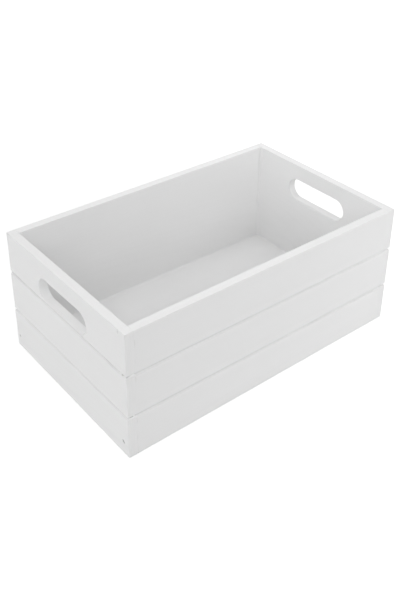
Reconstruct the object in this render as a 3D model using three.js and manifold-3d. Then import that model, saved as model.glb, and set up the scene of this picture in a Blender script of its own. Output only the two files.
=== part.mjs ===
// Kindling box: an open, white painted crate of thin softwood boards.
//
// Each wall is a stack of edge-glued boards with an eased groove at every seam. The end boards
// run the full width of the box and cover the ends of the side boards, and steel pins hold the
// corners and the floor. The top board of each end has a rounded hand slot.
//
// Millimetres. X runs along the box, Y across it and Z up; the ground is at Z = 0.
import * as THREE from 'three';
import { mergeVertices } from 'three/addons/utils/BufferGeometryUtils.js';
import Module from 'manifold-3d';

const wasm = await Module();
wasm.setup();

// ---- Overall sizes ----
const boxLength = 362;
const boxWidth = 220;
const boardHeight = 49;
const rows = ['bottom', 'middle', 'top'];
const boardThickness = 10;
const floorThickness = 10;
const floorRise = 7; // open space between the ground and the floor panel

// ---- Eased edges ----
const arris = 0.6; // rounding on the rim, the base and the four corners
const grooveDepth = 2.2; // how far a groove goes into the outside face
const grooveLip = 1.8; // height that one board gives to a groove

// ---- Hand slots ----
const slotLength = 89.6;
const slotHeight = 26.8;
const slotEase = 0.6; // small chamfer round both mouths of a slot
const slotLand = 0.3; // flat face left between a slot's chamfer and the groove below it
const slotShift = { left: 1.2, right: 0.5 }; // from the middle, towards the back side

// ---- Pins ----
const pinLength = 30;
const pinShankRadius = 0.8;
const pinHeadRadius = 1.2;
const pinHeadHeight = 1.4;
const pinPoint = 2.4; // length of the tapered tip
const pinSet = 0.5; // depth of a driven head below the outside face
const cornerPinInset = 15; // from the upper and lower edge of a board to its corner pins
const strayPin = 'left_end_front_corner_pin_1'; // this one was driven off its line
const strayPinShift = 3.6; // towards the middle of its wall
const floorPinMargin = 55; // from a wall's end to its first floor pin
const endFloorPins = 3;
const sideFloorPins = 4;

// ---- Clearances ----
const glueLine = 0.3; // between glued faces
const pinClearance = 0.1; // all round a pin

// ---- Worked out from the sizes above ----
const sideLength = boxLength - 2 * (boardThickness + glueLine);
const floorLength = sideLength;
const floorWidth = boxWidth - 2 * (boardThickness + glueLine);
const floorPinHeight = floorRise + floorThickness / 2;
const slotSill = grooveLip + slotEase + slotLand;
const cutPast = 1; // how far a cutter starts outside the face that it opens

const groovedEdge = { deep: grooveDepth, tall: grooveLip };
const roundedEdge = { deep: arris, tall: arris, round: true };
const squareEdge = { deep: 0, tall: 0 };

// ---- From surfaces to solids and back ----

function toSolid(geometry) {
  const bare = geometry.clone().deleteAttribute('normal').deleteAttribute('uv');
  const welded = mergeVertices(bare, 1e-5);
  const triangles = [];
  for (let i = 0; i < welded.index.count; i += 3) {
    const [a, b, c] = [0, 1, 2].map((corner) => welded.index.getX(i + corner));
    if (a !== b && b !== c && c !== a) triangles.push(a, b, c);
  }
  return new wasm.Manifold(new wasm.Mesh({
    numProp: 3,
    vertProperties: Float32Array.from(welded.attributes.position.array),
    triVerts: Uint32Array.from(triangles),
  }));
}

function toGeometry(solid) {
  const mesh = solid.getMesh();
  const geometry = new THREE.BufferGeometry();
  geometry.setAttribute('position', new THREE.BufferAttribute(mesh.vertProperties, 3));
  geometry.setIndex(new THREE.BufferAttribute(mesh.triVerts, 1));
  geometry.computeVertexNormals();
  return geometry;
}

// ---- Outlines ----

// A rectangle whose corners are cut back, each as { deep: along x, tall: along y }, and rounded
// where the corner says so. Corners go counter-clockwise from the lower left.
function cornerCutRectangle(x0, y0, x1, y1, corners) {
  const places = [[x0, y0, 0, 1, 1, 0], [x1, y0, -1, 0, 0, 1], [x1, y1, 0, -1, -1, 0],
    [x0, y1, 1, 0, 0, -1]];
  const shape = new THREE.Shape();
  places.forEach(([x, y, inX, inY, outX, outY], i) => {
    const { deep, tall, round } = corners[i];
    const start = [x + inX * deep, y + inY * tall];
    const end = [x + outX * deep, y + outY * tall];
    if (i === 0) shape.moveTo(...start);
    else shape.lineTo(...start);
    if (deep === 0) return;
    if (round) shape.quadraticCurveTo(x, y, ...end);
    else shape.lineTo(...end);
  });
  shape.closePath();
  return shape;
}

// Pushes an outline through a length along one axis, and centres it there or starts it at 0.
const turns = {
  x: new THREE.Matrix4().makeBasis(
    new THREE.Vector3(0, 1, 0), new THREE.Vector3(0, 0, 1), new THREE.Vector3(1, 0, 0)),
  y: new THREE.Matrix4().makeBasis(
    new THREE.Vector3(1, 0, 0), new THREE.Vector3(0, 0, 1), new THREE.Vector3(0, -1, 0)),
  z: new THREE.Matrix4(),
};

function pushed(shape, axis, length, start) {
  const geometry = new THREE.ExtrudeGeometry(shape, {
    depth: length, bevelEnabled: false, curveSegments: 4,
  });
  geometry.applyMatrix4(turns[axis]);
  geometry.translate(...{ x: [start, 0, 0], y: [0, start + length, 0], z: [0, 0, start] }[axis]);
  return toSolid(geometry);
}

// ---- Boards ----
// A board is drawn in its wall's own frame: X along the wall, the outside face on Y = 0 with Y
// going inwards, and the board's lower edge on Z = 0.

function rowEdges(row) {
  return {
    low: row === 0 ? roundedEdge : groovedEdge,
    high: row === rows.length - 1 ? roundedEdge : groovedEdge,
    innerLow: row === 0 ? roundedEdge : squareEdge,
    innerHigh: row === rows.length - 1 ? roundedEdge : squareEdge,
    bottom: row === 0 ? 0 : glueLine / 2,
    top: boardHeight - (row === rows.length - 1 ? 0 : glueLine / 2),
  };
}

function boardBlank(length, row) {
  const { low, high, innerLow, innerHigh, bottom, top } = rowEdges(row);
  const section = cornerCutRectangle(0, bottom, boardThickness, top,
    [low, innerLow, innerHigh, high]);
  return pushed(section, 'x', length, -length / 2);
}

function handSlotCutter(shift) {
  const radius = slotHeight / 2;
  const reach = slotLength / 2 - radius;
  const outline = new THREE.Shape();
  outline.absarc(reach, 0, radius, -Math.PI / 2, Math.PI / 2, false);
  outline.absarc(-reach, 0, radius, Math.PI / 2, 1.5 * Math.PI, false);
  const flare = slotEase + cutPast;
  const straight = boardThickness - 2 * slotEase;
  const geometry = new THREE.ExtrudeGeometry(outline, {
    depth: straight, curveSegments: 12,
    bevelThickness: flare, bevelSize: -flare, bevelOffset: flare, bevelSegments: 1,
  });
  geometry.applyMatrix4(turns.y);
  geometry.translate(shift, slotEase + straight, slotSill + radius);
  return toSolid(geometry);
}

// An end board shows its end grain at both corners of the box, so its grooves and its rounded
// edges go round the two ends as well.
function endBoard(row, shift) {
  const { low, high, bottom, top } = rowEdges(row);
  const half = boxWidth / 2;
  const face = cornerCutRectangle(-half, bottom, half, top, [low, low, high, high]);
  const plan = cornerCutRectangle(-half, 0, half, boardThickness,
    [roundedEdge, roundedEdge, squareEdge, squareEdge]);
  let solid = boardBlank(boxWidth, row)
    .intersect(pushed(face, 'y', boardThickness + 2 * cutPast, -cutPast))
    .intersect(pushed(plan, 'z', boardHeight + 2 * cutPast, -cutPast));
  if (row === rows.length - 1) solid = solid.subtract(handSlotCutter(shift));
  return solid;
}

function sideBoard(row) {
  return boardBlank(sideLength, row);
}

function floorPanel() {
  const panel = new THREE.BoxGeometry(floorLength, floorWidth, floorThickness);
  panel.translate(0, 0, floorRise + floorThickness / 2);
  return toSolid(panel);
}

// ---- Pins ----
// A pin lies along Y with its head at the low end, as it is driven into a wall.

function pinSolid(grow) {
  const head = pinHeadRadius + grow;
  const shank = pinShankRadius + grow;
  const start = grow > 0 ? -cutPast : pinSet;
  const neck = pinSet + pinHeadHeight + grow;
  const tip = pinSet + pinLength + grow;
  const outline = [[0, start], [head, start], [head, neck], [shank, neck + head - shank],
    [shank, tip - pinPoint], [0, tip]];
  return toSolid(new THREE.LatheGeometry(outline.map((p) => new THREE.Vector2(...p)), 10));
}

const pin = pinSolid(0);
const pinHole = pinSolid(pinClearance);

// ---- Walls ----

// Pin places of a wall as [x, z] in its own frame.
function evenPlaces(length, count) {
  const reach = length / 2 - floorPinMargin;
  return Array.from({ length: count }, (_, i) => [
    count > 1 ? -reach + (2 * reach * i) / (count - 1) : 0, floorPinHeight]);
}

function cornerPlaces(side) {
  const x = side * (boxWidth - boardThickness) / 2;
  return rows.flatMap((_, row) => [cornerPinInset, boardHeight - cornerPinInset]
    .map((z) => [x, row * boardHeight + z]));
}

const walls = [
  { name: 'left_end', turn: -Math.PI / 2, out: boxLength / 2, board: endBoard,
    corners: { front: 1, back: -1 }, floorPins: evenPlaces(boxWidth, endFloorPins),
    slotShift: -slotShift.left },
  { name: 'right_end', turn: Math.PI / 2, out: boxLength / 2, board: endBoard,
    corners: { front: -1, back: 1 }, floorPins: evenPlaces(boxWidth, endFloorPins),
    slotShift: slotShift.right },
  { name: 'front_side', turn: 0, out: boxWidth / 2, board: sideBoard,
    corners: {}, floorPins: evenPlaces(boxLength, sideFloorPins) },
  { name: 'back_side', turn: Math.PI, out: boxWidth / 2, board: sideBoard,
    corners: {}, floorPins: evenPlaces(boxLength, sideFloorPins) },
];

// A wall's frame stands on the ground at the middle of its outside face.
function wallFrame(wall) {
  const frame = new THREE.Group();
  frame.rotation.z = wall.turn;
  frame.position.set(Math.sin(wall.turn) * wall.out, -Math.cos(wall.turn) * wall.out, 0);
  frame.updateMatrixWorld();
  return frame;
}

// ---- Paint and steel ----

function whitePaint() {
  return new THREE.MeshStandardMaterial({ color: 0xf1f0ee, roughness: 0.55, metalness: 0 });
}

function pinSteel() {
  return new THREE.MeshStandardMaterial({ color: 0x9a9ea3, roughness: 0.35, metalness: 1 });
}

function named(name, solid, material) {
  const mesh = new THREE.Mesh(toGeometry(solid), material);
  mesh.name = name;
  return mesh;
}

// ---- Assembly ----

const box = new THREE.Group();
const pins = []; // every pin as { name, frame, x, z }

for (const wall of walls) {
  wall.frame = wallFrame(wall);
  box.add(wall.frame);
  for (const [corner, side] of Object.entries(wall.corners)) {
    cornerPlaces(side).forEach(([x, z], i) => {
      const name = `${wall.name}_${corner}_corner_pin_${i + 1}`;
      const shift = name === strayPin ? side * strayPinShift : 0;
      pins.push({ name, wall, x: x - shift, z });
    });
  }
  wall.floorPins.forEach(([x, z], i) => {
    pins.push({ name: `${wall.name}_floor_pin_${i + 1}`, wall, x, z });
  });
}

// Every pin's hole, in the frame of the whole box.
const holes = pins.map(({ wall, x, z }) => {
  const place = new THREE.Matrix4().makeTranslation(x, 0, z).premultiply(wall.frame.matrixWorld);
  return pinHole.transform(place.elements);
});

// Takes from a piece the holes of the pins that reach it. The piece stands at `place` in the box.
function drilled(solid, place) {
  const standing = solid.transform(place.elements);
  const bounds = standing.boundingBox();
  const reached = holes.filter((hole) => {
    const h = hole.boundingBox();
    return [0, 1, 2].every((k) => h.min[k] < bounds.max[k] && h.max[k] > bounds.min[k]);
  });
  const back = place.clone().invert();
  return reached.reduce((rest, hole) => rest.subtract(hole), standing).transform(back.elements);
}

for (const wall of walls) {
  rows.forEach((rowName, row) => {
    const lift = new THREE.Matrix4().makeTranslation(0, 0, row * boardHeight);
    const place = wall.frame.matrixWorld.clone().multiply(lift);
    const solid = drilled(wall.board(row, wall.slotShift), place);
    const board = named(`${wall.name}_${rowName}_board`, solid, whitePaint());
    board.position.z = row * boardHeight;
    wall.frame.add(board);
  });
}

box.add(named('floor_panel', drilled(floorPanel(), new THREE.Matrix4()), whitePaint()));

for (const { name, wall, x, z } of pins) {
  const mesh = named(name, pin, pinSteel());
  mesh.position.set(x, 0, z);
  wall.frame.add(mesh);
}

export default box;
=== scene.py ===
# %% [markdown]
# # A white painted kindling box
#
# The real object is a small open crate. Each wall is three thin boards glued edge to edge, the
# end boards cover the ends of the side boards, and pins hold the corners and the floor.
# Everything was then brushed with white paint.
#
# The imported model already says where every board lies, so this file only makes the looks: boards
# with rounded edges in place of the plain ones, paint with brush marks and grain in it, and the
# small faults that a hand-painted box has. All lengths are metres.

# %% Load the model that the looks are built around
import math
import bpy
from mathutils import Euler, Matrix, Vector


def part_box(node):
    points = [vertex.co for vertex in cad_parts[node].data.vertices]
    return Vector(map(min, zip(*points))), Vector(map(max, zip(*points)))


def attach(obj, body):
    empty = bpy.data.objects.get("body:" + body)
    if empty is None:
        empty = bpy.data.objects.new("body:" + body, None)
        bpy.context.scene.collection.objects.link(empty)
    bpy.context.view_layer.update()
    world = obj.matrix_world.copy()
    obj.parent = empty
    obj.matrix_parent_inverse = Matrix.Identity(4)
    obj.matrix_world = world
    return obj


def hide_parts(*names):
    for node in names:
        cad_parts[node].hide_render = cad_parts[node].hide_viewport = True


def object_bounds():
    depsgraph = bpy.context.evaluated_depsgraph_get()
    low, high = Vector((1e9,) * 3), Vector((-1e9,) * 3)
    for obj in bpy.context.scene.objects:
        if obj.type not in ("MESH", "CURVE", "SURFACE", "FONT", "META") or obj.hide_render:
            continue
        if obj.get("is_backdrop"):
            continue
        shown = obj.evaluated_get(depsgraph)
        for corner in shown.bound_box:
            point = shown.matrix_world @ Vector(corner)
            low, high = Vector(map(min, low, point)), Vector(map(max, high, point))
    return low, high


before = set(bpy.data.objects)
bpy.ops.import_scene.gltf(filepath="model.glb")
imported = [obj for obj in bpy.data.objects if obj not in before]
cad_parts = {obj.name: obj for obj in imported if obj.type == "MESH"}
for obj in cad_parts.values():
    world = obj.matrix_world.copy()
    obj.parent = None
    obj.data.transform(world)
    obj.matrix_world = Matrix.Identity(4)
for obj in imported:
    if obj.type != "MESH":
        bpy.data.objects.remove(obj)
MM = 0.001
low_corner, high_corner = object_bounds()
BOX_LENGTH, BOX_WIDTH, BOX_HEIGHT = high_corner - low_corner
end_low, end_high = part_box("left_end_top_board")
WALL = end_high.x - end_low.x
floor_low, floor_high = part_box("floor_panel")


def in_mm(lengths):
    return [round(length / MM, 1) for length in lengths]


print("the model spans", in_mm(high_corner - low_corner), "mm, its walls are", *in_mm([WALL]),
      "mm thick")

# %% [markdown]
# ## Camera
#
# The camera stands above the box's near corner, by the left end. The photograph is a crop whose
# middle lies below the lens axis, so the lens is shifted instead of tilted: a tilt would make
# the upright edges converge more than they do.

# %% Place the camera
IMAGE_LONG_SIDE = 600  # pixels; the photograph's height
LENS_IN_PIXELS = 842.8  # focal length, from the photograph's vanishing points
AXIS_PIXEL = (205.4, 188.7)  # where the lens axis meets the photograph
IMAGE_MIDDLE = (200, 300)
SENSOR_LONG_SIDE = 36  # millimetres
CAMERA_PLACE = (-0.4989, -0.6061, 0.6078)
HEADING, TILT_DOWN, ROLL = (math.radians(a) for a in (39.372, 28.271, 0.746))

camera_data = bpy.data.cameras.new("camera")
camera_data.sensor_width = SENSOR_LONG_SIDE
camera_data.lens = LENS_IN_PIXELS / IMAGE_LONG_SIDE * SENSOR_LONG_SIDE
camera_data.shift_x = (IMAGE_MIDDLE[0] - AXIS_PIXEL[0]) / IMAGE_LONG_SIDE
camera_data.shift_y = (AXIS_PIXEL[1] - IMAGE_MIDDLE[1]) / IMAGE_LONG_SIDE
camera = bpy.data.objects.new("camera", camera_data)
camera.location = CAMERA_PLACE
upright = Euler((math.pi / 2 - TILT_DOWN, 0, -HEADING)).to_matrix()
camera.rotation_euler = (upright @ Euler((0, 0, ROLL)).to_matrix()).to_euler()
bpy.context.scene.collection.objects.link(camera)
bpy.context.scene.camera = camera
bpy.context.scene.view_settings.view_transform = "Standard"
print("lens", round(camera_data.lens, 2), "mm")

# %% [markdown]
# ## Writing node trees as sums
#
# A rule such as "depth times one minus the sine" takes several Math nodes. The class below lets
# a rule be written as a sum, and adds its nodes, in Geometry Nodes and materials alike.

# %% A value that flows through a node tree
class Flow:
    """An output socket of a node. A sum with it adds the node that works the sum out."""

    def __init__(self, tree, socket):
        self.tree = tree
        self.socket = socket

    def math(self, operation, *others):
        return add(self.tree, "Math", self, *others, operation=operation)

    def __add__(self, other):
        return self.math("ADD", other)

    def __sub__(self, other):
        return self.math("SUBTRACT", other)

    def __mul__(self, other):
        return self.math("MULTIPLY", other)

    def __truediv__(self, other):
        return self.math("DIVIDE", other)

    def __rsub__(self, other):
        return self * -1 + other

    __radd__ = __add__
    __rmul__ = __mul__

    def clamped(self):
        """Held between 0 and 1."""
        return self.math("MAXIMUM", 0.0).math("MINIMUM", 1.0)

    def mixed_to(self, other, share):
        return self * (1 - share) + other * share


def plug(tree, source, socket):
    """Feeds a socket with a flow or with a plain value."""
    if isinstance(source, Flow):
        tree.links.new(source.socket, socket)
    elif source is not None:
        socket.default_value = source


def add(tree, kind, *sources, out=0, **settings):
    """Adds a node, by its Blender name without GeometryNode or ShaderNode in front. Sources
    feed its inputs in order, and a setting with an input's name feeds that input."""
    is_geometry = hasattr(bpy.types, f"GeometryNode{kind}")
    node = tree.nodes.new(f"GeometryNode{kind}" if is_geometry else f"ShaderNode{kind}")
    named = {k: settings.pop(k) for k in list(settings) if k[0].isupper()}
    for key, value in settings.items():
        setattr(node, key, value)
    for source, socket in zip(sources, [s for s in node.inputs if s.enabled]):
        plug(tree, source, socket)
    for key, source in named.items():
        name = key.replace("_", " ")
        plug(tree, source, next(s for s in node.inputs if s.enabled and s.name == name))
    return Flow(tree, [s for s in node.outputs if s.enabled][out])


def outputs(flow):
    """All the outputs of the node that a value comes from, by name."""
    return {s.name: Flow(flow.tree, s) for s in flow.socket.node.outputs if s.enabled}


def split(tree, vector):
    """The X, Y and Z of a vector, by name."""
    return outputs(add(tree, "SeparateXYZ", vector))


def joined(tree, *values, **named):
    """A vector out of its X, Y and Z."""
    return add(tree, "CombineXYZ", *values, **named)


def moved_to(tree, geometry, *values):
    """Gives every point of a geometry a new X, Y and Z."""
    return add(tree, "SetPosition", geometry, Position=joined(tree, *values))


def scaled(tree, vector, by):
    """A vector with its X, Y and Z each multiplied by a number of its own."""
    return add(tree, "VectorMath", vector, by, operation="MULTIPLY")


print("helpers for nodes:", [f.__name__ for f in (plug, add, outputs, split, joined, scaled)])

# %% A tree with named inputs
SOCKETS = {"geometry": "NodeSocketGeometry", "number": "NodeSocketFloat",
           "vector": "NodeSocketVector", "material": "NodeSocketMaterial"}


def new_tree(name, kind, inputs, results):
    """A node group with named sockets. Returns it with its inputs as flows."""
    tree = bpy.data.node_groups.new(name, kind)
    for key, socket in inputs.items():
        tree.interface.new_socket(key, in_out="INPUT", socket_type=SOCKETS[socket])
    for key, socket in results.items():
        tree.interface.new_socket(key, in_out="OUTPUT", socket_type=SOCKETS[socket])
    start = tree.nodes.new("NodeGroupInput")
    return tree, {s.name: Flow(tree, s) for s in start.outputs if s.name}


def finish_tree(tree, **results):
    end = tree.nodes.new("NodeGroupOutput")
    for key, flow in results.items():
        plug(tree, flow, end.inputs[key.replace("_", " ")])
    return tree


def new_modifier(name, numbers, vectors=(), takes=()):
    """A tree that a modifier can hold. It takes a material too, and puts out one mesh."""
    inputs = dict.fromkeys(takes, "geometry") | dict.fromkeys(numbers, "number")
    inputs |= dict.fromkeys(vectors, "vector") | {"Material": "material"}
    tree, given = new_tree(name, "GeometryNodeTree", inputs, {"Mesh": "geometry"})
    tree.is_modifier = True
    return tree, given


def finish_modifier(tree, mesh, material):
    """Makes instances real and puts the material on."""
    mesh = add(tree, "RealizeInstances", mesh)
    mesh = add(tree, "SetMaterial", mesh, Material=material)
    return finish_tree(tree, Mesh=mesh)


print("kinds of socket:", ", ".join(SOCKETS))

# %% [markdown]
# ## The rule of a board
#
# A board is a flat outline, seen from above, pushed upwards. Near its lower and upper edges the
# outline draws back, and that makes the rounded lips: two lips meet in a groove, and a single one
# eases the rim. On an end board the lips also go round the ends, where its end grain shows.
# Written as a rule in Geometry Nodes, one tree makes all twelve boards.

# %% Geometry Nodes: the eased board
LIP_RINGS = 6  # steps round one lip
BODY_RINGS = 5  # steps up the flat of a board
CORNER_CUTS = 5  # steps round an upright corner
LENGTH_STEP = 6 * MM
END_SHARE = 0.4999  # of a board's length: points further out than this lie on its ends
EASE_START = 0.8 * MM  # length over which an inner edge's easing begins
HUMPS = 14.0  # unevenness: humps and hollows per metre


def rise(t, roundness):
    """How far up a lip has come, from 0 to 1, as t goes from the board's edge to its face."""
    return t.mixed_to(1 - (t * (math.pi / 2)).math("COSINE"), roundness)


def draw_back(t, roundness):
    """How far a lip still stands back from the face, from 1 to 0."""
    return (1 - t).mixed_to(1 - (t * (math.pi / 2)).math("SINE"), roundness)


def captured(tree, geometry, **values):
    """Keeps values on a geometry's points, so that they survive the next nodes."""
    node = tree.nodes.new("GeometryNodeCaptureAttribute")
    plug(tree, geometry, node.inputs["Geometry"])
    for key, value in values.items():
        is_vector = value.socket.type == "VECTOR"
        node.capture_items.new("VECTOR" if is_vector else "FLOAT", key)
        plug(tree, value, node.inputs[key])
    return [Flow(tree, node.outputs[key]) for key in ("Geometry", *values)]


def stored(tree, geometry, name, value, domain="POINT"):
    """Stores an attribute that a material can read."""
    return add(tree, "StoreNamedAttribute", geometry, Name=name, Value=value,
               data_type="FLOAT", domain=domain)


def way_up(tree, rings):
    """An upright line with one point for each ring of a mesh that is pushed along it."""
    way = add(tree, "CurvePrimitiveLine", (0, 0, 0), (0, 0, 1))
    return add(tree, "ResampleCurve", way, True, rings)


print("lips of", LIP_RINGS, "steps, a body of", BODY_RINGS)

# %% Geometry Nodes: the tree of the eased board
def make_board_tree():
    tree, g = new_modifier("eased_board", (
        "Length", "Thickness", "Bottom", "Top", "Low lip depth", "Low lip height",
        "High lip depth", "High lip height", "Low roundness", "High roundness", "Low slope",
        "High slope", "Inner low ease", "Inner high ease", "Covered ends", "Lips round ends",
        "Corner ease", "Unevenness", "Number"), ("Turn", "Move"))

    # The outline from above, with its two outer corners rounded.
    outline = add(tree, "CurvePrimitiveQuadrilateral", g["Length"], g["Thickness"])
    index = add(tree, "InputIndex")
    is_long_edge = 1 - index.math("MODULO", 2.0)
    cuts_long = (g["Length"] / LENGTH_STEP).math("FLOOR")
    outline = add(tree, "SubdivideCurve", outline, cuts_long * is_long_edge)
    place = add(tree, "InputPosition")
    part = split(tree, place)
    at_end = part["X"].math("ABSOLUTE").math("GREATER_THAN", g["Length"] * END_SHARE)
    outside = part["Y"].math("LESS_THAN", 0.0)
    outline = add(tree, "FilletCurve", outline, CORNER_CUTS,
                  g["Corner ease"] * at_end * outside, mode="POLY")

    # The inner edges are eased only where no other wall covers them. The two points next to
    # each end are moved to where the cover stops, so that the easing starts there at once.
    from_end = g["Length"] / 2 - part["X"].math("ABSOLUTE")
    steps = (from_end / g["Length"] * (cuts_long + 1) + 0.5).math("FLOOR")
    is_inner = part["Y"].math("GREATER_THAN", 0.0)
    moved = g["Covered ends"] + (steps - 1) * EASE_START
    is_moved = (is_inner * steps.math("GREATER_THAN", 0.5) * steps.math("LESS_THAN", 2.5)
                * g["Covered ends"].math("GREATER_THAN", 0.0))
    from_end = from_end.mixed_to(moved, is_moved)
    outline = moved_to(tree, outline, (g["Length"] / 2 - from_end) * part["X"].math("SIGN"),
                       part["Y"])
    eased = ((from_end - g["Covered ends"]) / EASE_START).clamped()
    eased = 1 - (1 - eased) * g["Covered ends"].math("GREATER_THAN", 0.0)
    outline, plan, eased = captured(tree, outline, Plan=place, Eased=eased)

    # The way up, one point for each ring of the mesh.
    last = 2 * LIP_RINGS + BODY_RINGS
    way = way_up(tree, last + 1)
    low = (index / LIP_RINGS).clamped()
    high = ((last - index) / LIP_RINGS).clamped()
    along = ((index - LIP_RINGS) / BODY_RINGS).clamped()
    low_bend, high_bend = g["Low roundness"], g["High roundness"]
    foot = g["Bottom"] + g["Low lip height"] * rise(low, low_bend)
    head = g["Top"] - g["High lip height"] * rise(high, high_bend)
    way, height, slope, outer, inner = captured(
        tree, way, Height=foot.mixed_to(head, along),
        Slope=g["Low slope"].mixed_to(g["High slope"], along),
        Outer=g["Low lip depth"] * draw_back(low, low_bend)
        + g["High lip depth"] * draw_back(high, high_bend),
        Inner=g["Inner low ease"] * draw_back(low, low_bend)
        + g["Inner high ease"] * draw_back(high, high_bend))

    # Push the outline up the way, then draw each ring back by its lip.
    mesh = add(tree, "CurveToMesh", way, outline, Fill_Caps=True)
    plan = split(tree, plan)
    depth = plan["Y"] / g["Thickness"] + 0.5
    y = outer + depth * (g["Thickness"] - outer - inner * eased)
    x = plan["X"] * (1 - g["Lips round ends"] * outer * 2 / g["Length"])
    mesh = moved_to(tree, mesh, x, y, height + x * slope)
    mesh = stored(tree, mesh, "set_back", outer * (1 - depth) / MM)
    mesh = stored(tree, mesh, "board_number", g["Number"])
    mesh = add(tree, "Transform", mesh, g["Move"], g["Turn"])

    # Hand planing leaves every face a little uneven. The noise reads the place in the whole
    # box, so that two boards move alike where they meet.
    noise = add(tree, "TexNoise", Scale=HUMPS, Detail=1.0, out=1)
    wander = add(tree, "VectorMath", noise, (0.5, 0.5, 0.5), operation="SUBTRACT")
    wander = add(tree, "VectorMath", wander, Scale=g["Unevenness"], operation="SCALE")
    mesh = add(tree, "SetPosition", mesh, Offset=wander)
    return finish_modifier(tree, mesh, g["Material"])


board_tree = make_board_tree()
print("board tree:", len(board_tree.nodes), "nodes")

# %% [markdown]
# ## The hand slot
#
# Each end has a slot with half-round ends, and its edge is sanded round to be kind to fingers.
# The cutter has the slot's outline and flares where it leaves the wood. Taking it away from the
# top board makes the slot and its soft edge in one go.

# %% Geometry Nodes: the hand slot
SLOT_RINGS = 6  # steps round the slot's eased edge
ROUND_END_CUTS = 14  # steps round a quarter of the slot's outline
NEARLY_HALF = 0.499  # of the slot's height: a full half would leave edges of no length


def make_slot_tree():
    tree, g = new_modifier("hand_slot", (
        "Length", "Height", "Ease", "Inner ease", "Thickness", "Past", "Number"),
        ("Turn", "Move"), takes=["Mesh"])
    radius = g["Height"] * NEARLY_HALF
    outline = add(tree, "CurvePrimitiveQuadrilateral", g["Length"], g["Height"])
    outline = add(tree, "FilletCurve", outline, ROUND_END_CUTS, radius, mode="POLY")
    outline, plan = captured(tree, outline, Plan=add(tree, "InputPosition"))

    # Rings through the thickness: one outside, the lip, the lip on the other side, one outside.
    index = add(tree, "InputIndex")
    last = 2 * SLOT_RINGS + 3
    way = way_up(tree, last + 1)
    near = ((index - 1) / SLOT_RINGS).clamped()
    far = ((last - 1 - index) / SLOT_RINGS).clamped()
    second_half = index.math("GREATER_THAN", SLOT_RINGS + 1.5)
    first = index.math("LESS_THAN", 0.5)
    final = index.math("GREATER_THAN", last - 0.5)
    depth = (g["Ease"] * rise(near, 1.0)).mixed_to(
        g["Thickness"] - g["Inner ease"] * rise(far, 1.0), second_half)
    depth = depth + (final - first) * g["Past"]
    flare = g["Ease"] * draw_back(near, 1.0) + g["Inner ease"] * draw_back(far, 1.0)
    way, depth, flare = captured(tree, way, Depth=depth, Flare=flare)

    # Widen every ring about the line that joins the centres of the two round ends.
    cutter = add(tree, "CurveToMesh", way, outline, Fill_Caps=True)
    part = split(tree, plan)
    reach = g["Length"] / 2 - g["Height"] / 2
    centre = part["X"].math("MAXIMUM", reach * -1).math("MINIMUM", reach)
    wider = 1 + flare / radius
    x = centre + (part["X"] - centre) * wider
    cutter = moved_to(tree, cutter, x, depth, part["Y"] * wider)
    cutter = add(tree, "FlipFaces", cutter)
    cutter = stored(tree, cutter, "board_number", g["Number"])
    cutter = add(tree, "Transform", cutter, g["Move"], g["Turn"])
    mesh = add(tree, "MeshBoolean", g["Mesh"], cutter, operation="DIFFERENCE",
               solver="MANIFOLD")
    return finish_modifier(tree, mesh, g["Material"])


slot_tree = make_slot_tree()
print("slot tree:", len(slot_tree.nodes), "nodes")

# %% [markdown]
# ## Nicks
#
# The box has a few small faults: a pin hole that was never filled, a shallow dent over another
# pin, cracks where boards meet at the near corner, a pit in a groove and a tick in the rim. Each
# is a rough lump taken away from the wood. The faces that a lump leaves are marked with an
# attribute, so that the paint can leave them bare.

# %% Geometry Nodes: a nick
LUMP_RADIUS = 0.5  # so that a nick's size is its full width
LUMP_CUTS = 4  # how often the lump's faces are divided
LUMP_NOISE = 3.2  # hollows across a lump


def make_nick_tree():
    tree, g = new_modifier("nick", ("Raggedness", "Seed", "Bare"), ("Size", "Turn", "Place"),
                           takes=["Mesh"])
    lump = add(tree, "MeshIcoSphere", LUMP_RADIUS, LUMP_CUTS)
    noise = add(tree, "TexNoise", W=g["Seed"], Scale=LUMP_NOISE, Detail=2.0,
                noise_dimensions="4D")
    normal = add(tree, "InputNormal")
    push = add(tree, "VectorMath", normal, Scale=(noise - 0.5) * g["Raggedness"],
               operation="SCALE")
    lump = add(tree, "SetPosition", lump, Offset=push)
    lump = stored(tree, lump, "bare", g["Bare"], domain="FACE")
    lump = add(tree, "Transform", lump, Scale=g["Size"])
    lump = add(tree, "Transform", lump, g["Place"], g["Turn"])
    mesh = add(tree, "MeshBoolean", g["Mesh"], lump, operation="DIFFERENCE",
               solver="MANIFOLD")
    return finish_modifier(tree, mesh, g["Material"])


nick_tree = make_nick_tree()
print("nick tree:", len(nick_tree.nodes), "nodes")

# %% [markdown]
# ## From trees to plain pieces
#
# A piece starts empty. Its modifiers run the trees one after the other, as a joiner saws a board
# and then cuts the slot, and the result is kept as a plain mesh. Its normals are weighted by the
# size of the faces beside them, so that a flat face stays flat up to its rounded edge.

# %% Turn modifiers into a plain mesh
SHARP_ANGLE = math.radians(40)  # faces that meet at more than this keep a hard edge


def empty_piece(name):
    piece = bpy.data.objects.new(name, bpy.data.meshes.new(name))
    bpy.context.scene.collection.objects.link(piece)
    return piece


def with_tree(piece, tree, **values):
    """Adds a modifier that runs a tree, and sets its inputs by the names the tree gives them."""
    modifier = piece.modifiers.new(tree.name, "NODES")
    modifier.node_group = tree
    named = {key.replace("_", " "): value for key, value in values.items()}
    for item in tree.interface.items_tree:
        if item.in_out == "INPUT" and item.name in named:
            modifier[item.identifier] = named[item.name]
    return piece


def keep_result(piece):
    """Replaces a piece's modifiers by the mesh that they make."""
    graph = bpy.context.evaluated_depsgraph_get()
    mesh = bpy.data.meshes.new_from_object(piece.evaluated_get(graph), depsgraph=graph)
    piece.modifiers.clear()
    piece.data = mesh


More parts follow.
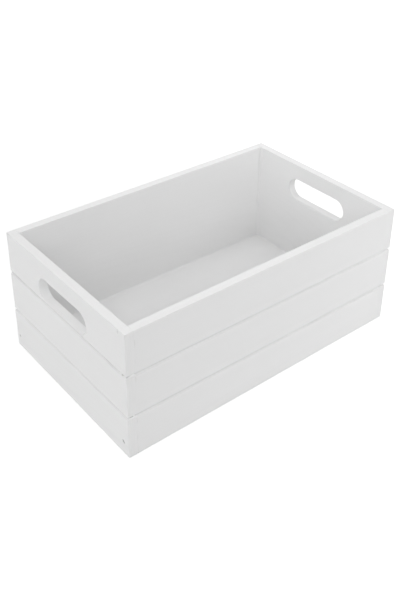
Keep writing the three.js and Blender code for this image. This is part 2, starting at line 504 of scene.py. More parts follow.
def made_plain(piece):
    """Turns a piece's modifiers into a plain mesh with soft shading."""
    keep_result(piece)
    piece.data.shade_smooth()
    piece.data.set_sharp_from_angle(angle=SHARP_ANGLE)
    weighted = piece.modifiers.new("weighted", "WEIGHTED_NORMAL")
    weighted.keep_sharp = True
    keep_result(piece)
    piece.data.name = piece.name


print("edges sharper than", round(math.degrees(SHARP_ANGLE)), "degrees stay hard")

# %% [markdown]
# ## White paint over wood
#
# One coat of white paint does not hide the wood, taken here to be a softwood: its hard rings
# stand up through the paint as low ridges, and the brush leaves fine lines along each board.
# Painted shade darkens the inner joints a little. The rings and the brush are a group of nodes
# each, which puts out a height and a tone. A paint material adds them up, so every board gets
# its own grain from one recipe. Flat white alone would look like plastic.

# %% Shader group: the rings of the wood
RING_WIDTH = 2.6 * MM
HEART_NEAREST, HEART_RANGE = 30 * MM, 40 * MM  # how far behind the board the heart lies
HEART_ASIDE = 60 * MM  # range of its place up or down the board
HEART_LEAN = 0.03  # its slope against the board
SWAY, RING_SWAY = 22 * MM, 9  # how far the rings wander


def make_rings_group():
    """Growth rings round the heart of the log. The board was cut beside that heart."""
    tree, g = new_tree("wood_rings", "ShaderNodeTree",
                       {"Place": "vector", "Board": "number"},
                       {"Height": "number", "Tone": "number"})
    part = split(tree, g["Place"])
    pick = add(tree, "TexWhiteNoise", W=g["Board"], noise_dimensions="1D", out=1)
    pick = outputs(add(tree, "SeparateColor", pick))
    sway = add(tree, "TexNoise", scaled(tree, g["Place"], (3.0, 14.0, 14.0)),
               W=g["Board"], Scale=1.0, Detail=2.0, noise_dimensions="4D")
    across = part["Z"] - (pick["Green"] - 0.5) * HEART_ASIDE + (sway - 0.5) * SWAY
    deep = part["Y"] + HEART_NEAREST + pick["Red"] * HEART_RANGE + part["X"] * HEART_LEAN
    radius = (across * across + deep * deep).math("SQRT")
    wave = (radius * (2 * math.pi / RING_WIDTH) + sway * RING_SWAY).math("SINE") * 0.5 + 0.5
    late = wave.math("POWER", 4.0)  # narrow hard rings between wide soft ones
    fibre = add(tree, "TexNoise", scaled(tree, g["Place"], (25.0, 1100.0, 1100.0)),
                Scale=1.0, Detail=2.0)
    return finish_tree(tree, Height=late * 0.7 + fibre * 0.5, Tone=late * 0.6 + fibre * 0.4)


rings_group = make_rings_group()
print("rings group:", len(rings_group.nodes), "nodes")

# %% Shader group: the marks of the brush
def make_brush_group():
    """Fine lines along the stroke, in strokes that start and stop, and a little orange peel."""
    tree, g = new_tree("brush_marks", "ShaderNodeTree",
                       {"Place": "vector", "Board": "number"},
                       {"Height": "number", "Tone": "number", "Gloss": "number"})

    def noise(per_metre, detail):
        """Marks, so many to a metre along the stroke and across it."""
        return add(tree, "TexNoise", scaled(tree, g["Place"], per_metre),
                   W=g["Board"], Scale=1.0, Detail=detail, noise_dimensions="4D")

    bristles = noise((9.0, 620.0, 620.0), 3.0)
    strokes = noise((4.0, 70.0, 70.0), 2.0)
    patches = noise((16.0, 30.0, 30.0), 2.0)
    peel = noise((520.0, 520.0, 520.0), 1.0)
    load = ((strokes - 0.35) * 2.2).clamped()  # how much paint the brush still carried
    height = bristles * load * 0.8 + strokes * 0.8 + peel * 0.25
    tone = strokes * 0.5 + patches * 0.5
    return finish_tree(tree, Height=height, Tone=tone, Gloss=patches * 0.6 + bristles * 0.4)


brush_group = make_brush_group()
print("brush group:", len(brush_group.nodes), "nodes")

# %% [markdown]
# ## Where on the box a point lies
#
# Edges are rubbed by hands, painted shade darkens the inner joints, and painted light and shade
# make no wall quite the same tone all over. One group measures how far a point is from the box's
# ends, sides, rim and base, and turns that into masks, so that a rule for the paint reads like a
# sentence.

# %% Shader group: places in the box
ARRIS_REACH, INNER_ARRIS_REACH = 1.6 * MM, 1.2 * MM  # how far an edge's rubbing reaches
JOINT_REACH = 7 * MM
FACE_REACH = 0.5 * MM  # a point this near to the outside lies on that face
NEAR_SIDE_REACH = 4 * MM
WALL_SHARE = 0.98  # of a wall's thickness: deeper points are on the inside


def make_places_group(length, width, height, wall, floor_top):
    """Side face is the outside of the long sides, Thickness the rims and slot edges. Along and
    Up run from -1 to 1, and Near side fades inwards from the long sides."""
    masks = "Edge", "Joint", "Side face", "Inside", "Thickness", "Along", "Up", "Near side"
    tree, g = new_tree("box_places", "ShaderNodeTree", {"Place": "vector"},
                       dict.fromkeys(masks, "number"))
    part = split(tree, g["Place"])
    from_end = length / 2 - part["X"].math("ABSOLUTE")
    from_side = width / 2 - part["Y"].math("ABSOLUTE")

    def near(value, where, reach):
        return (1 - (value - where).math("ABSOLUTE") / reach).clamped()

    at_end = near(from_end, 0, ARRIS_REACH)
    at_side = near(from_side, 0, ARRIS_REACH)
    in_end = near(from_end, wall, INNER_ARRIS_REACH)
    in_side = near(from_side, wall, INNER_ARRIS_REACH)
    at_rim = near(part["Z"], height, ARRIS_REACH)
    at_base = near(part["Z"], 0, ARRIS_REACH)
    edge = (at_end * at_side + (at_end + at_side) * (at_rim + at_base)
            + (in_end + in_side) * at_rim).clamped()

    below = from_end.math("MINIMUM", from_side)
    deep_end = near(from_end, wall, JOINT_REACH)
    deep_side = near(from_side, wall, JOINT_REACH)
    low = near(part["Z"], floor_top, JOINT_REACH)
    inside = (below / (wall * WALL_SHARE)).math("FLOOR").clamped()
    joint = (deep_end * deep_side + (deep_end + deep_side) * low).clamped() * inside
    side_face = 1 - (from_side / FACE_REACH).clamped()
    thickness = (1 - inside) * (below / FACE_REACH - 1).clamped()
    return finish_tree(tree, Edge=edge, Joint=joint, Side_face=side_face, Inside=inside,
                       Thickness=thickness, Along=part["X"] * 2 / length,
                       Up=part["Z"] * 2 / height - 1,
                       Near_side=1 - (from_side / NEAR_SIDE_REACH).clamped())


places_group = make_places_group(BOX_LENGTH, BOX_WIDTH, BOX_HEIGHT, WALL, floor_high.z)
print("places:", [s.name for s in places_group.interface.items_tree if s.in_out == "OUTPUT"])

# %% [markdown]
# ## The paint itself
#
# The coat is white with a little grey in it. Rings and brush marks change its tone by a per cent
# or so, and painted shade darkens the grooves of the left end by a third or more. Painted light
# and shade make the tone lighter or darker across each wall, by up to a tenth, wall by wall, and
# a painted shadow darkens the inside towards the left end. One function makes all the paints,
# and a Mapping node turns the grain of the end boards.

# %% A group inside a material, and what all paints share
def grouped(tree, group, **sources):
    """Places a group in a material and returns its outputs by name."""
    node = tree.nodes.new("ShaderNodeGroup")
    node.node_tree = group
    for key, source in sources.items():
        plug(tree, source, node.inputs[key.replace("_", " ")])
    return {s.name: Flow(tree, s) for s in node.outputs}


def grey(tree, value):
    return add(tree, "CombineColor", value, value, value)


def new_material(name):
    """A material with its tree and its Principled shader."""
    material = bpy.data.materials.new(name)
    material.use_nodes = True
    return material, material.node_tree, material.node_tree.nodes["Principled BSDF"]


def bumped(tree, shader, height, distance):
    """Lets a height bend the light, as if the surface rose by that distance."""
    bump = add(tree, "Bump", Height=height)
    bump.socket.node.inputs["Distance"].default_value = distance
    plug(tree, bump, shader.inputs["Normal"])


PAINT_TONE, FILLER_TONE = 0.86, 0.88
BARE_WOOD = (0.27, 0.26, 0.25, 1)
RING_TONE, RING_HEIGHT = -0.012, 0.022  # shares of the tone, and millimetres
BRUSH_TONE, BRUSH_HEIGHT = 0.03, 0.03
GROOVE_BEGINS, GROOVE_FULL = 0.6, 2.2  # millimetres that a groove's surface lies back
# Shares of the tone: painted shade in the inner joints, and wear on rubbed edges.
JOINT_SHADE, RUBBED_DIRT = 0.02, 0.05
ROUGHNESS, GLOSS_RANGE = 0.52, 0.25
GROOVE_DULL, RUBBED_DULL, BARE_DULL = 0.1, 0.2, 0.3
STREAKS = (900.0, 0.0, 45.0)  # end grain: streaks per metre along X and Z

# Painted light and shade on a wall are three shares of the tone, lighter above 0 and darker
# below: everywhere, more towards +X, more towards the rim.
NO_PAINTED_SHADING = (0.0, 0.0, 0.0)
# Painted light towards +X on the outer faces of the long sides, and painted shade towards their
# rim.
SIDE_PAINTED_SHADING = (0.002, 0.036, -0.012)
# No painted shadow at an end.
NO_SHADOWED_END = (-0.5, -1.0, 0.0)
print("paint reflects", PAINT_TONE, "and filler", FILLER_TONE)


# %% One recipe for every paint
def painted_wood(name, turn=0.0, tone=PAINT_TONE, grain=1.0, marks=1.0, groove_shade=NO_PAINTED_SHADING,
                 end_grain=0.0, inside=NO_PAINTED_SHADING, thickness=NO_PAINTED_SHADING, shadowed_end=NO_SHADOWED_END):
    """Groove shade is painted shade that darkens the grooves, or painted light that lightens them
    below 0: everywhere, more towards +X, and more at an end board's ends. Inside and thickness
    are painted light and shade, of the inside and of rims and slot edges. A shadowed end is a
    painted shadow inside the box: where along the box it begins and is full, and its depth."""
    material, tree, shader = new_material(name)
    place = add(tree, "TexCoord", out=3)
    turned = add(tree, "Mapping", place, vector_type="POINT")
    turned.socket.node.inputs["Rotation"].default_value = (0, 0, turn)

    set_back, bare, number = (
        add(tree, "Attribute", attribute_name=key, attribute_type="GEOMETRY", out=2)
        for key in ("set_back", "bare", "board_number"))
    wood = grouped(tree, rings_group, Place=turned, Board=number)
    brush = grouped(tree, brush_group, Place=turned, Board=number)
    box = grouped(tree, places_group, Place=place)

    # The rings and the brush, then painted shade in grooves and joints, and wear on rubbed edges.
    value = tone * (1 + (wood["Tone"] - 0.35) * (RING_TONE * grain)
                    + (brush["Tone"] - 0.5) * (BRUSH_TONE * marks))
    rubbed = box["Edge"] * (brush["Gloss"] - 0.35).clamped()
    groove = ((set_back - GROOVE_BEGINS) / (GROOVE_FULL - GROOVE_BEGINS)).clamped()
    # Painted shade in the grooves; below 0 it is painted light.
    even, along, at_corner = groove_shade
    groove_shading = groove * (even + box["Along"] * along + box["Near side"] * at_corner)
    # Painted shade darkens the inner joints too.
    value = value * (1 - groove_shading) * (1 - box["Joint"] * JOINT_SHADE)
    value = value * (1 - rubbed * RUBBED_DIRT)

    # Painted light and shade across each wall. A painted shadow at one end fades out just below
    # the rim.
    def painted_shading(even, along, up):
        return even + box["Along"] * along + box["Up"] * up

    # The shadowed end darkens the inside as a painted shadow, growing towards one end of the box.
    begins, full, amount = shadowed_end
    end_shadow = (((box["Along"] - begins) / (full - begins)).clamped() * box["Inside"]
                * (2 - box["Up"] * 2).clamped() * amount)
    # Painted light and shade on the inside, on the outer faces of the long sides, and on rims and
    # slot edges.
    value = value * (1 + box["Inside"] * painted_shading(*inside) + box["Side face"] * painted_shading(*SIDE_PAINTED_SHADING)
                     + box["Thickness"] * (1 - groove) * painted_shading(*thickness)
                     - end_shadow)
    if end_grain:
        streaks = add(tree, "TexNoise", scaled(tree, place, STREAKS), Scale=1.0, Detail=2.0)
        value = value * (1 - box["Side face"] * (streaks - 0.45).clamped() * end_grain)
    colour = add(tree, "Mix", A=grey(tree, value), B=BARE_WOOD, data_type="RGBA",
                 Factor=bare)
    plug(tree, colour, shader.inputs["Base Color"])
    rough = (ROUGHNESS + (brush["Gloss"] - 0.5) * GLOSS_RANGE + groove * GROOVE_DULL
             + rubbed * RUBBED_DULL + bare * BARE_DULL)
    plug(tree, rough.clamped(), shader.inputs["Roughness"])
    height = (wood["Height"] * (RING_HEIGHT * grain)
              + brush["Height"] * (BRUSH_HEIGHT * marks))
    bumped(tree, shader, height, MM)
    return material


ALONG_WIDTH = math.pi / 2
# Each wall has its own copy of the paint, with painted shade in its grooves and painted light and
# shade across its faces, rims and slot edges.
WALL_SHADED_PAINTS = {
    "left_end": painted_wood("left_end_shaded_paint", turn=ALONG_WIDTH, groove_shade=(0.36, 0.0, 0.25),
                             end_grain=0.12, thickness=(0.09, 0.0, -0.065)),
    "right_end": painted_wood("right_end_shaded_paint", turn=ALONG_WIDTH, groove_shade=(-0.08, 0.0, 0.0),
                              end_grain=0.12, inside=(0.036, 0.0, 0.052),
                              thickness=(-0.05, 0.0, 0.0)),
    "front_side": painted_wood("front_side_shaded_paint", groove_shade=(0.015, -0.11, 0.0),
                               thickness=(-0.005, -0.03, 0.0)),
    "back_side": painted_wood("back_side_shaded_paint", groove_shade=(0.05, 0.0, 0.0),
                              inside=(0.004, 0.052, 0.041), thickness=(0.018, -0.03, 0.0),
                              shadowed_end=(-0.45, -0.95, 0.08)),
}
# The floor's paint gets painted light and shade across it, lighter towards the left and darker
# towards the right, and a painted shadow that darkens it near the left end.
floor_shaded_paint = painted_wood("floor_shaded_paint", grain=0.7, marks=0.8, inside=(0.01, -0.035, 0.0),
                           shadowed_end=(-0.33, -0.66, 0.13))
filler_paint = painted_wood("filler_paint", tone=FILLER_TONE, grain=0.0, marks=0.6)
print("paints:", [m.name for m in (*WALL_SHADED_PAINTS.values(), floor_shaded_paint, filler_paint)])

# %% [markdown]
# ## Steel of the pins
#
# The pins are bright drawn wire, with fine lines and dull patches. The wood hides them, but they
# are seen when the box is taken apart, so the steel is fully metallic and its patches change
# both colour and roughness.

# %% Steel of the pins
DULL_PATCHES, DRAW_LINES = 900.0, 4000.0  # per metre
LINE_HEIGHT = 0.004 * MM


def drawn_steel(name):
    """Bright drawn wire with fine lines and dull patches."""
    material, tree, shader = new_material(name)
    shader.inputs["Metallic"].default_value = 1.0
    place = add(tree, "TexCoord", out=3)
    dull = add(tree, "TexNoise", place, Scale=DULL_PATCHES, Detail=3.0)
    lines = add(tree, "TexNoise", place, Scale=DRAW_LINES, Detail=1.0)
    plug(tree, grey(tree, 0.42 + dull * 0.22), shader.inputs["Base Color"])
    plug(tree, 0.25 + dull * 0.3, shader.inputs["Roughness"])
    bumped(tree, shader, lines, LINE_HEIGHT)
    return material


pin_steel = drawn_steel("pin_steel")
print("steel:", pin_steel.name)

# %% [markdown]
# ## Sizes of the boards
#
# The box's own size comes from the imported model. Here are the finer ones: grooves, rounded
# edges, slots, and how far a row runs out of level. On the real box the joints of the front
# side sink a little towards the right, and those of the right end lie lower than the left's.

# %% Sizes of the boards
ROWS = ("bottom", "middle", "top")
GROOVE_DEPTH, GROOVE_LIP = 2.2 * MM, 1.8 * MM  # what one board gives to a groove
ARRIS = 0.5 * MM  # rounding of the rim, the base and the corners
SEAM = 0.15 * MM  # rounding that leaves a hairline at a corner
LIP_BEND, ARRIS_BEND = 0.15, 1.0  # 0 is a plain chamfer, 1 is fully round
UNEVENNESS = 0.12 * MM
ROOM = UNEVENNESS / 2  # keeps the unevenness inside the model's box
SLOT_LENGTH, SLOT_HEIGHT = 89.6 * MM, 26.8 * MM
SLOT_EASE = 0.6 * MM
SLOT_PAST = 2 * MM  # how far its cutter stands out of the wood
SLOT_INNER_EASE = {"left_end": 0.3 * MM, "right_end": 1.4 * MM}
SLOT_SILL = 2.7 * MM  # from the board's lower edge to the slot
SLOT_SHIFT = {"left_end": 1.2 * MM, "right_end": 0.5 * MM}  # towards the back side

ROW_HEIGHT = BOX_HEIGHT / len(ROWS)

# Where one board ends and the next begins: height at the middle of the wall, and slope.
STRAIGHT = ((0, 0), (ROW_HEIGHT, 0), (2 * ROW_HEIGHT, 0), (BOX_HEIGHT, 0))
JOINTS = {
    "left_end": STRAIGHT, "back_side": STRAIGHT,
    "right_end": ((0, 0), (46.8 * MM, 0), (95.5 * MM, 0), (BOX_HEIGHT, 0)),
    "front_side": ((0, 0), (47.7 * MM, -0.0058), (96.5 * MM, -0.0070), (BOX_HEIGHT, 0)),
}

# Each wall: its turn about Z, the way out to its outside face, and the length of its boards.
END = (BOX_LENGTH / 2 - ROOM, BOX_WIDTH - 2 * ROOM)
SIDE = (BOX_WIDTH / 2 - ROOM, BOX_LENGTH - 2 * WALL)
WALLS = {"left_end": (-math.pi / 2, *END), "right_end": (math.pi / 2, *END),
         "front_side": (0, *SIDE), "back_side": (math.pi, *SIDE)}
print("a row is", *in_mm([ROW_HEIGHT]), "mm high, a groove", 2 * GROOVE_LIP / MM, "mm wide")

# %% [markdown]
# ## The faults, one by one
#
# Each nick names the boards that it cuts, its size, its turn and its place, measured from the
# foot of the corner that faces the camera. All of them are at the left end, where the
# photograph shows them.

# %% Where the nicks are
LEFT, NEAR = -BOX_LENGTH / 2, -BOX_WIDTH / 2
SEAM_X = WALL / MM + 0.3  # the seam between an end board and a side board
NICKS = (
    # boards, size, turn, place, raggedness, bareness; millimetres and degrees
    # The pin hole that was left open, and the dent over the pin at the other corner.
    (("left_end_bottom",), (3.4, 4.4, 2.0), (45, 0, 0), (0, 9.0, 15.2), 0.6, 0.8),
    (("left_end_bottom",), (1.2, 3.2, 3.6), (0, 0, 0), (0, 213.9, 14.6), 0.5, 0.3),
    # The crack in the low groove, on the end grain of the end boards.
    (("left_end_bottom", "left_end_middle"), (5.2, 6.8, 1.2), (0, 0, 0), (4.6, 0, 48.7), 1.2, 0.3),
    (("left_end_bottom", "left_end_middle"), (2.0, 6.0, 1.2), (0, 0, 0), (9.4, 0, 48.8), 0.6, 0.3),
    # A pit in the high groove.
    (("left_end_middle", "left_end_top"), (5.6, 3.0, 2.0), (0, 0, 0), (0.8, 7.4, 97.7), 0.7, 0.3),
    # A tick in the rim.
    (("left_end_top",), (0.8, 0.6, 5.2), (0, 0, 0), (0, 11.2, 144.6), 0.5, 0.45),
    # Stretches where the paint has cracked along the seam, and a chip at its foot.
    *((tuple(f"{wall}_{row}" for wall in ("left_end", "front_side")),
       (0.6, 0.7, long), (0, 0, 0), (SEAM_X, 0, high), 0.6, 0.05)
      for row, high, long in (("top", 133, 9), ("top", 112.5, 6), ("middle", 91.5, 8),
                              ("bottom", 42, 6), ("bottom", 21, 7), ("bottom", 5, 5))),
    (("left_end_bottom", "front_side_bottom"), (1.6, 1.6, 2.0), (0, 0, 0), (SEAM_X, 0, 0.6),
     0.5, 0.4),
)


def cut_nicks(piece, board_name, paint):
    for number, (boards, size, turn, place, ragged, bare) in enumerate(NICKS):
        if board_name not in boards:
            continue
        with_tree(piece, nick_tree, Size=Vector(size) * MM,
                  Turn=[math.radians(a) for a in turn],
                  Place=Vector((LEFT, NEAR, 0)) + Vector(place) * MM,
                  Raggedness=ragged, Seed=float(number), Bare=bare, Material=paint)


print(len(NICKS), "nicks")

# %% [markdown]
# ## The walls
#
# Each board is made in order: its shape, the hand slot if it is the top board of an end, and
# its nicks. An edge that meets another board gets a lip of the groove, and the rim and the base
# get a small rounding. The board's number gives it a grain of its own.

# %% Build the walls
def board(wall, row):
    turn, out, length = WALLS[wall]
    move = Vector((math.sin(turn) * out, -math.cos(turn) * out, 0))
    is_end, is_low, is_top = wall.endswith("end"), row == 0, row == len(ROWS) - 1
    (bottom, low_slope), (top, high_slope) = JOINTS[wall][row:row + 2]
    name = f"{wall}_{ROWS[row]}"
    number = 1.7 * row + 5.0 * list(WALLS).index(wall)  # no two boards have the same one
    paint = WALL_SHADED_PAINTS[wall]
    piece = empty_piece(f"{name}_board_painted")
    arris, lip = (ARRIS, ARRIS, ARRIS_BEND), (GROOVE_DEPTH, GROOVE_LIP, LIP_BEND)
    low, high = arris if is_low else lip, arris if is_top else lip
    with_tree(piece, board_tree, Length=length, Thickness=WALL - ROOM,
              Bottom=bottom + ROOM * is_low, Top=top - ROOM * is_top,
              Low_slope=low_slope, High_slope=high_slope,
              Low_lip_depth=low[0], Low_lip_height=low[1], Low_roundness=low[2],
              High_lip_depth=high[0], High_lip_height=high[1], High_roundness=high[2],
              Inner_low_ease=ARRIS if is_low else 0.0, Inner_high_ease=ARRIS if is_top else 0.0,
              Covered_ends=WALL if is_end else 0.0, Lips_round_ends=1.0 if is_end else 0.0,
              Corner_ease=ARRIS if is_end else SEAM, Turn=(0, 0, turn), Move=move,
              Unevenness=UNEVENNESS, Number=number, Material=paint)
    if is_end and is_top:
        up = Vector((0, SLOT_SHIFT[wall], row * ROW_HEIGHT + SLOT_SILL + SLOT_HEIGHT / 2))
        with_tree(piece, slot_tree, Length=SLOT_LENGTH, Height=SLOT_HEIGHT, Ease=SLOT_EASE,
                  Inner_ease=SLOT_INNER_EASE[wall], Thickness=WALL, Past=SLOT_PAST,
                  Turn=(0, 0, turn), Move=move + up, Number=number, Material=paint)
    cut_nicks(piece, name, paint)
    made_plain(piece)
    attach(piece, "root")
    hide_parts(f"{name}_board")
    return piece


boards = [board(wall, row) for wall in WALLS for row in range(len(ROWS))]
for piece in boards:
    print(piece.name, len(piece.data.polygons), "faces")

# %% [markdown]
# ## The floor panel
#
# The floor panel lies between the four walls. Paint ran into the joint all round it and dried
# as a small hollow fillet, so the floor turns up where it meets a wall. It is pushed up as the
# boards are, and its last rings draw inwards.

# %% Geometry Nodes: the floor panel
FILLET_RINGS = 7
FLOOR_FILLET = 2.2 * MM


def make_floor_tree():
    tree, g = new_modifier("floor_panel", ("Length", "Width", "Bottom", "Top", "Fillet"))
    outline = add(tree, "CurvePrimitiveQuadrilateral", g["Length"], g["Width"])
    outline, plan = captured(tree, outline, Plan=add(tree, "InputPosition"))
    index = add(tree, "InputIndex")
    way = way_up(tree, FILLET_RINGS + 2)
    turn = ((index - 1) / FILLET_RINGS).clamped() * (math.pi / 2)
    top = g["Top"] + g["Fillet"] * (1 - turn.math("SINE"))
    height = g["Bottom"].mixed_to(top, index.math("GREATER_THAN", 0.5))
    way, height, inset = captured(tree, way, Height=height,
                                  Inset=g["Fillet"] * (1 - turn.math("COSINE")))
    mesh = add(tree, "CurveToMesh", way, outline, Fill_Caps=True)
    plan = split(tree, plan)
    mesh = moved_to(tree, mesh, plan["X"] * (1 - inset * 2 / g["Length"]),
                    plan["Y"] * (1 - inset * 2 / g["Width"]), height)
    return finish_modifier(tree, mesh, g["Material"])


floor_piece = with_tree(
    empty_piece("floor_panel_painted"), make_floor_tree(), Length=BOX_LENGTH - 2 * WALL,
    Width=BOX_WIDTH - 2 * WALL, Bottom=floor_low.z, Top=floor_high.z, Fillet=FLOOR_FILLET,
    Material=floor_shaded_paint)
made_plain(floor_piece)
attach(floor_piece, "root")
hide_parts("floor_panel")
print("floor panel:", in_mm(floor_piece.dimensions), "mm")

# %% [markdown]
# ## Filler in the inner corners
#
# A line of filler closes each upright inner corner. It was put on by hand, so it has lumps and
# its width changes. A hollow profile swept up the corner, its size set by noise, gives that.

# %% Geometry Nodes: the line of filler
FILLER_SIZE, FILLER_THIN_END = 3.0 * MM, 10 * MM
FILLER_RINGS = 120
FILLER_LUMPS, LUMPINESS = 90.0, 2.2  # lumps per metre, and how much they differ
LEAST_SIZE = 0.15  # no place is thinner than this share of the size
RIM_SHARE = 0.2  # what is left of the size at the rim
BURIED = 0.15  # how far the profile's centre lies behind the corner
ARC_POINTS = 7


def make_filler_tree():
    tree, g = new_modifier("filler_line", (
        "Bottom", "Top", "Thin end", "Size", "Lumpiness", "Seed"), ("Turn", "Move"))
    way = add(tree, "CurvePrimitiveLine", joined(tree, Z=g["Bottom"]),
              joined(tree, Z=g["Top"]))
    way = add(tree, "ResampleCurve", way, True, FILLER_RINGS)
    noise = add(tree, "TexNoise", W=g["Seed"], Scale=FILLER_LUMPS, Detail=3.0,
                noise_dimensions="4D")
    size = g["Size"] * (1 + (noise - 0.5) * g["Lumpiness"]).math("MAXIMUM", LEAST_SIZE)
    place = split(tree, add(tree, "InputPosition"))
    below_rim = ((g["Top"] - place["Z"]) / g["Thin end"]).clamped()
    size = size * below_rim.mixed_to(1, RIM_SHARE)

    # The profile is a quarter of a circle, hollow towards the room. Its centre point is moved
    # just behind the corner of the walls, which makes the filler a closed body.
    arc = add(tree, "CurveArc", ARC_POINTS, 1.0, math.pi, math.pi / 2,
              Connect_Center=True, mode="RADIUS")
    from_centre = add(tree, "VectorMath", add(tree, "InputPosition"), operation="LENGTH")
    on_arc = from_centre.math("GREATER_THAN", 0.5)
    arc = moved_to(tree, arc, *((place[a] + (1 + BURIED)) * on_arc - BURIED for a in "XY"))
    mesh = add(tree, "CurveToMesh", way, arc, Scale=size, Fill_Caps=True)
    mesh = add(tree, "Transform", mesh, g["Move"], g["Turn"])
    return finish_modifier(tree, mesh, g["Material"])


filler_tree = make_filler_tree()
INSIDE_X, INSIDE_Y = BOX_LENGTH / 2 - WALL, BOX_WIDTH / 2 - WALL
CORNERS = ((-1, -1), (1, -1), (1, 1), (-1, 1))
for number, (x, y) in enumerate(CORNERS):
    filler = with_tree(
        empty_piece(f"corner_filler_{number + 1}"), filler_tree, Bottom=floor_high.z,
        Top=BOX_HEIGHT - ARRIS, Thin_end=FILLER_THIN_END, Size=FILLER_SIZE,
        Lumpiness=LUMPINESS, Seed=float(number), Turn=(0, 0, number * math.pi / 2),
        Move=(x * INSIDE_X, y * INSIDE_Y, 0), Material=filler_paint)
    made_plain(filler)
    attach(filler, "root")
    print(filler.name, len(filler.data.polygons), "faces", in_mm(filler.dimensions), "mm")

# %% [markdown]
# ## Pins
#
# Steel pins hold the corners and the floor. They are driven below the surface, and all the
# holes but one are filled and painted over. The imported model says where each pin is, and one
# tree puts a turned pin there.

# %% Geometry Nodes: the pins of one wall
PIN_LENGTH, PIN_SHANK, PIN_HEAD, PIN_HEAD_HEIGHT = 30 * MM, 0.8 * MM, 1.2 * MM, 1.4 * MM
PIN_POINT = 2.4 * MM
HEAD_SIDES, SHANK_SIDES = 16, 12
HEAD_UNDERSIDE, POINT_TIP = 0.92, 0.1  # their radii, as shares of the head's and shank's


def make_pin_tree():
    tree, g = new_modifier("pins", (
        "Length", "Shank radius", "Head radius", "Head height", "Point"), ["Turn"],
        takes=["Places"])
    head = add(tree, "MeshCone", HEAD_SIDES, 1, 1,
               g["Head radius"] * HEAD_UNDERSIDE, g["Head radius"], g["Head height"])
    straight = g["Length"] - g["Point"]
    shank = add(tree, "MeshCylinder", SHANK_SIDES, 1, 1, g["Shank radius"], straight)
    shank = add(tree, "Transform", shank, joined(tree, Z=straight / 2))
    point = add(tree, "MeshCone", SHANK_SIDES, 1, 1,
                g["Shank radius"] * POINT_TIP, g["Shank radius"], g["Point"])
    point = add(tree, "Transform", point, joined(tree, Z=straight))
    join = tree.nodes.new("GeometryNodeJoinGeometry")
    for part in (point, shank, head):
        tree.links.new(part.socket, join.inputs["Geometry"])
    pins = add(tree, "InstanceOnPoints", g["Places"],
               Instance=Flow(tree, join.outputs["Geometry"]), Rotation=g["Turn"])
    return finish_modifier(tree, pins, g["Material"])


pin_tree = make_pin_tree()
for wall, (turn, out, _) in WALLS.items():
    names = sorted(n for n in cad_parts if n.startswith(wall) and "_pin_" in n)
    outward = Vector((math.sin(turn), -math.cos(turn), 0))
    places = []
    for name in names:
        low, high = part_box(name)
        half = (high - low) / 2
        places.append((low + high) / 2 + outward * abs(half.dot(outward)))
    pins = empty_piece(f"{wall}_pins")
    pins.data.from_pydata(places, [], [])
    with_tree(pins, pin_tree, Length=PIN_LENGTH, Shank_radius=PIN_SHANK, Head_radius=PIN_HEAD,
              Head_height=PIN_HEAD_HEIGHT, Point=PIN_POINT, Turn=(-math.pi / 2, 0, turn),
              Material=pin_steel)
    made_plain(pins)
    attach(pins, "root")
    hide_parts(*names)
    print(pins.name, len(names), "pins")

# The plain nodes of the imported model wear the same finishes.
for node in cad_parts.values():
    node.data.materials.clear()
    node.data.materials.append(
        pin_steel if "_pin_" in node.name else WALL_SHADED_PAINTS["front_side"])

# %% [markdown]
# ## World and floor
#
# The box stands on a white ground with no edge in sight. A floor lit up to white would throw too
# much light back at it, so world and floor are white to the camera and in reflections only, by
# the Light Path node. The floor glows less close to the box, which leaves its soft shadow.

# %% World and floor
WHITE = (1, 1, 1, 1)
AMBIENT = 0.06  # what the world gives as light
FLOOR_COLOUR = (0.9, 0.9, 0.9, 1)
FLOOR_REACH = 4.0
FLOOR_DROP = 0.2 * MM  # keeps the floor clear of the box's base
NEAR_GLOW = 0.35  # how white the floor glows close to the box
GLOW_BEGINS, GLOW_REACH = 0.35, 0.8  # metres: where the glow begins to grow, and how far


def seen_directly(tree):
    """1 for what the camera sees, straight or in a reflection, and 0 for what only lights."""
    path = outputs(add(tree, "LightPath"))
    return (path["Is Camera Ray"] + path["Is Glossy Ray"]
            + path["Is Transmission Ray"]).clamped()


def shown(tree, surface, kind):
    end = tree.nodes.new(kind)
    tree.links.new(surface.socket, end.inputs["Surface"])


world = bpy.data.worlds.new("world")
bpy.context.scene.world = world
world.use_nodes = True
tree = world.node_tree
tree.nodes.clear()
strength = seen_directly(tree) * (1 - AMBIENT) + AMBIENT
shown(tree, add(tree, "Background", WHITE, strength), "ShaderNodeOutputWorld")

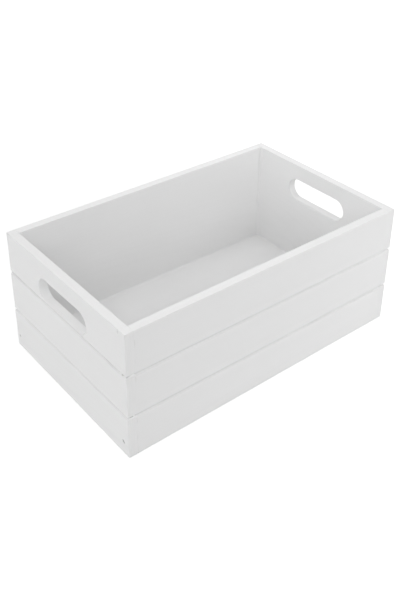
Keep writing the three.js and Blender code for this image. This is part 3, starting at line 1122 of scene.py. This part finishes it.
floor_mesh = bpy.data.meshes.new("floor")
floor_corners = [(x * FLOOR_REACH, y * FLOOR_REACH, 0) for x, y in CORNERS]
floor_mesh.from_pydata(floor_corners, [], [(0, 1, 2, 3)])
floor = bpy.data.objects.new("floor", floor_mesh)
bpy.context.scene.collection.objects.link(floor)
floor.location.z = -FLOOR_DROP
floor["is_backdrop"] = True
floor_material = bpy.data.materials.new("pale_floor")
floor_material.use_nodes = True
tree = floor_material.node_tree
tree.nodes.clear()
diffuse = add(tree, "BsdfDiffuse", FLOOR_COLOUR)
away = add(tree, "VectorMath", add(tree, "TexCoord", out=3), operation="LENGTH")
share = NEAR_GLOW + ((away - GLOW_BEGINS) / GLOW_REACH).clamped() * (1 - NEAR_GLOW)
glow = add(tree, "Emission", WHITE, seen_directly(tree) * share)
shown(tree, add(tree, "AddShader", diffuse, glow), "ShaderNodeOutputMaterial")
floor.data.materials.append(floor_material)
print("the floor is", 2 * FLOOR_REACH, "metres wide")

# %% [markdown]
# ## Lamps
#
# The light in the photograph is soft and comes from all round, so every face is nearly as white
# as the next. Each lamp here is a round soft box. Its strength was found by comparing the tone
# of every face with the photograph.

# %% Lamps
LAMPS = {
    # where it stands round the box and above the floor, in degrees; distance and width in
    # metres; strength
    "left": (180, 20, 2.0, 1.2, 0.255),
    "front_left": (245, 35, 2.0, 1.2, 0.258),
    "front": (270, 20, 2.0, 1.2, 0.107),
    "right_low": (335, 15, 1.0, 0.5, 0.156),
    "right_high": (330, 50, 1.0, 0.5, 0.117),
    "back_right": (45, 32, 2.0, 1.0, 0.205),
    "back": (120, 30, 2.0, 1.2, 0.175),
    "top": (180, 90, 2.0, 1.4, 0.290),
}


def lamp(name, around, above, distance, width, strength):
    """A round soft box. A strength of 1 lights a white surface that faces it up to white."""
    data = bpy.data.lights.new(name, "AREA")
    data.shape, data.size = "DISK", width
    data.energy = (math.pi * distance) ** 2 * strength
    light = bpy.data.objects.new(name, data)
    a, e = math.radians(around), math.radians(above)
    way = Vector((math.cos(e) * math.cos(a), math.cos(e) * math.sin(a), math.sin(e)))
    light.location = way * distance
    aim = light.location - Vector((0, 0, BOX_HEIGHT / 2))
    light.rotation_euler = aim.to_track_quat("Z", "Y").to_euler()
    bpy.context.scene.collection.objects.link(light)


for name, numbers in LAMPS.items():
    lamp(name, *numbers)
print("lamps:", list(LAMPS))

# %% [markdown]
# ## The two boxes
#
# The looks must not stand out of the model that they dress, so the box round each of the two is
# measured.

# %% Keep the two boxes
low_corner, high_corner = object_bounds()
